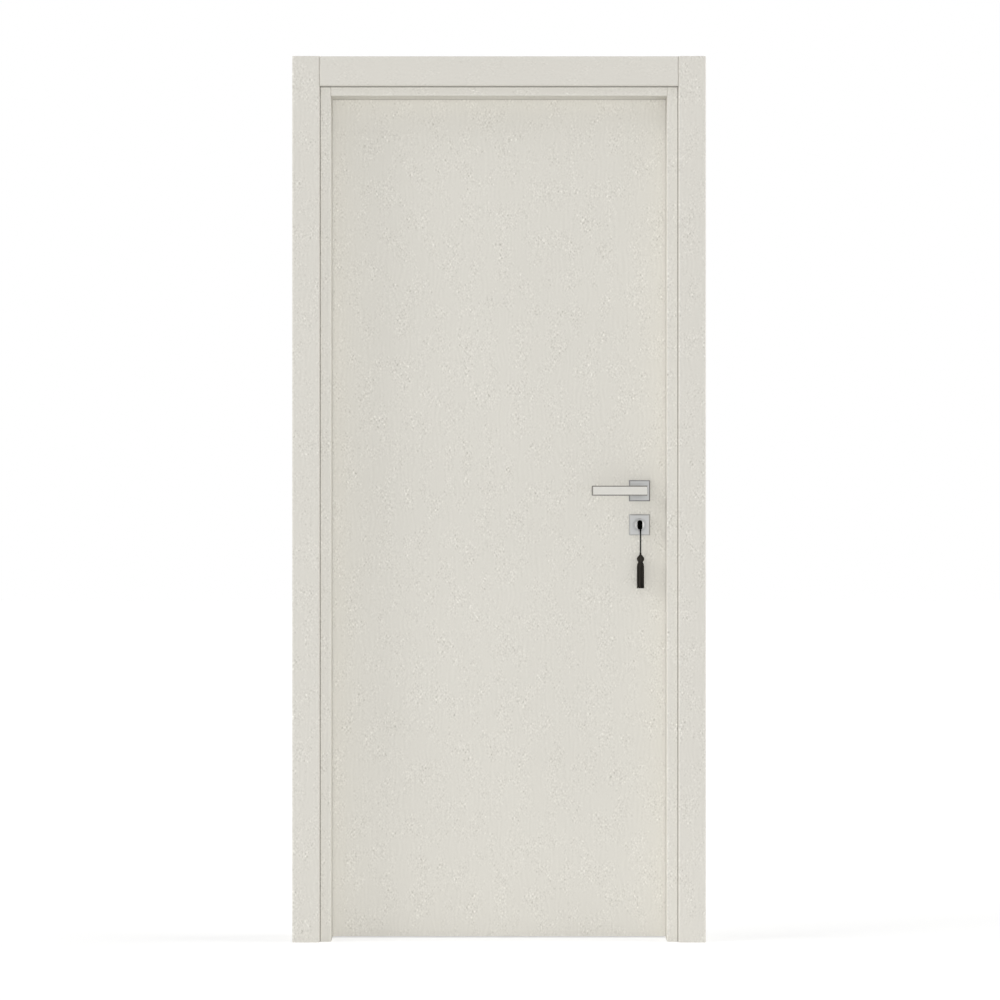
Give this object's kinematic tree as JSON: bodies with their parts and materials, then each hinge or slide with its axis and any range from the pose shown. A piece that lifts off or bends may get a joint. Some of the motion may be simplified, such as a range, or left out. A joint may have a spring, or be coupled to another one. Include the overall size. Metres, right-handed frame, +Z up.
{
  "type": "prehung interior door",
  "caption": "Flush interior door prehung in a rebated frame with flat casings on both faces, butt hinges, lever handles on square roses, and a cylinder lock with a tasselled key.",
  "frame": {"origin": "on the wall-side face of the hinge jamb, at floor level, at mid-depth of the frame", "axes": "+X across the doorway from the hinge jamb to the lock jamb, +Y through the wall from the push side at the front to the hinge side at the back, +Z up"},
  "size_m": [0.9728, 0.168, 2.0835],
  "materials": {
    "cream_frame": "cream foil with a fine woven emboss, satin",
    "cream_casing": "cream foil with a fine woven emboss, satin",
    "cream_leaf": "cream foil with a fine woven emboss, satin",
    "cream_edge": "cream edge foil, satin",
    "core_board": "honeycomb board",
    "seal": "matt cream grey",
    "satin_steel": "satin nickel plated",
    "bolt_steel": "satin nickel plated",
    "spindle_steel": "zinc plated",
    "rose_metal": "satin nickel plated",
    "lever_metal": "satin",
    "cylinder_brass": "nickel plated brass",
    "key_steel": "nickel plated",
    "black_plastic": "matt black",
    "black_cord": "twisted black cord",
    "black_thread": "black rayon thread"
  },
  "bodies": {
    "frame": {"hinge_jamb": "cream_frame", "lock_jamb": "cream_frame", "head_jamb": "cream_frame", "front_hinge_casing": "cream_casing", "front_lock_casing": "cream_casing", "front_head_casing": "cream_casing", "back_hinge_casing": "cream_casing", "back_lock_casing": "cream_casing", "back_head_casing": "cream_casing", "frame_seal": "seal", "strike_plate": "satin_steel", "jamb_wing_low": "satin_steel", "jamb_wing_mid": "satin_steel", "jamb_wing_top": "satin_steel", "hinge_pin_low": "satin_steel", "hinge_pin_mid": "satin_steel", "hinge_pin_top": "satin_steel"},
    "leaf": {"front_skin": "cream_leaf", "back_skin": "cream_leaf", "hinge_stile": "cream_edge", "lock_stile": "cream_edge", "top_rail": "cream_edge", "bottom_rail": "cream_edge", "leaf_core": "core_board", "leaf_wing_low": "satin_steel", "leaf_wing_mid": "satin_steel", "leaf_wing_top": "satin_steel", "lock_case": "satin_steel", "latch_bolt": "bolt_steel", "dead_bolt": "bolt_steel", "cylinder_body": "cylinder_brass", "front_rose": "rose_metal", "back_rose": "rose_metal", "front_escutcheon": "rose_metal", "back_escutcheon": "rose_metal", "key_cord": "black_cord", "tassel_head": "black_thread", "tassel_skirt": "black_thread"},
    "handle": {"front_lever": "lever_metal", "back_lever": "lever_metal", "spindle": "spindle_steel"},
    "key": {"cylinder_plug": "cylinder_brass", "key_blade": "key_steel", "key_bow": "black_plastic"}
  },
  "joints": [
    {"name": "leaf_swing", "type": "hinge", "parent": "frame", "child": "leaf", "pos_m": [0.03325, 0.057, 0], "axis": [0, 0, 1], "range_deg": [0, 110]},
    {"name": "lever_turn", "type": "hinge", "parent": "leaf", "child": "handle", "pos_m": [0.7735, 0.029, 1.062], "axis": [0, -1, 0], "range_deg": [0, 40], "stiffness_Nm_per_rad": 1, "springref_deg": -45.84},
    {"name": "key_turn", "type": "hinge", "parent": "leaf", "child": "key", "pos_m": [0.7735, 0, 0.981], "axis": [0, 1, 0], "range_deg": [0, 360]}
  ]
}
